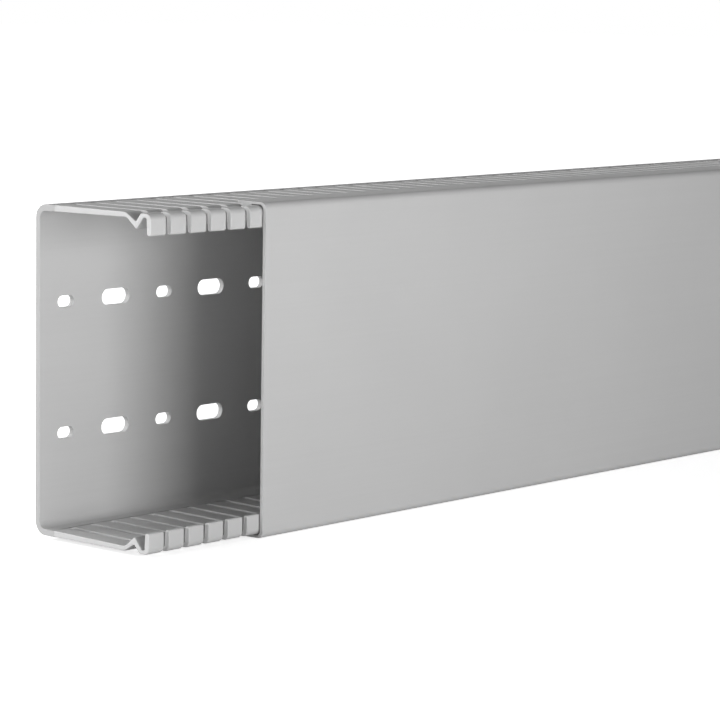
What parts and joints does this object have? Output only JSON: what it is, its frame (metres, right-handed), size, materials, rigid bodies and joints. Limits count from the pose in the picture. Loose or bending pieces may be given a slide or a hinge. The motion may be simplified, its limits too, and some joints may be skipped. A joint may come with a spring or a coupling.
{
  "type": "slotted wire duct",
  "caption": "Light grey plastic wire duct with finger-slotted side walls, slotted mounting web and a slide-back snap cover.",
  "frame": {"origin": "middle of the channel's back face, which lies against the mounting plate", "axes": "+X along the duct, +Y out of the back face towards the mounting plate, +Z across the duct"},
  "size_m": [1.0563, 0.06, 0.1226],
  "materials": {
    "grey_pvc_base": "satin",
    "grey_pvc_cover": "satin"
  },
  "bodies": {
    "channel": {"duct_base": "grey_pvc_base"},
    "cover": {"duct_cover": "grey_pvc_cover"}
  },
  "joints": [
    {"name": "cover_slide", "type": "slide", "parent": "channel", "child": "cover", "axis": [1, 0, 0], "range_m": [-0.0563, 0.945]}
  ]
}
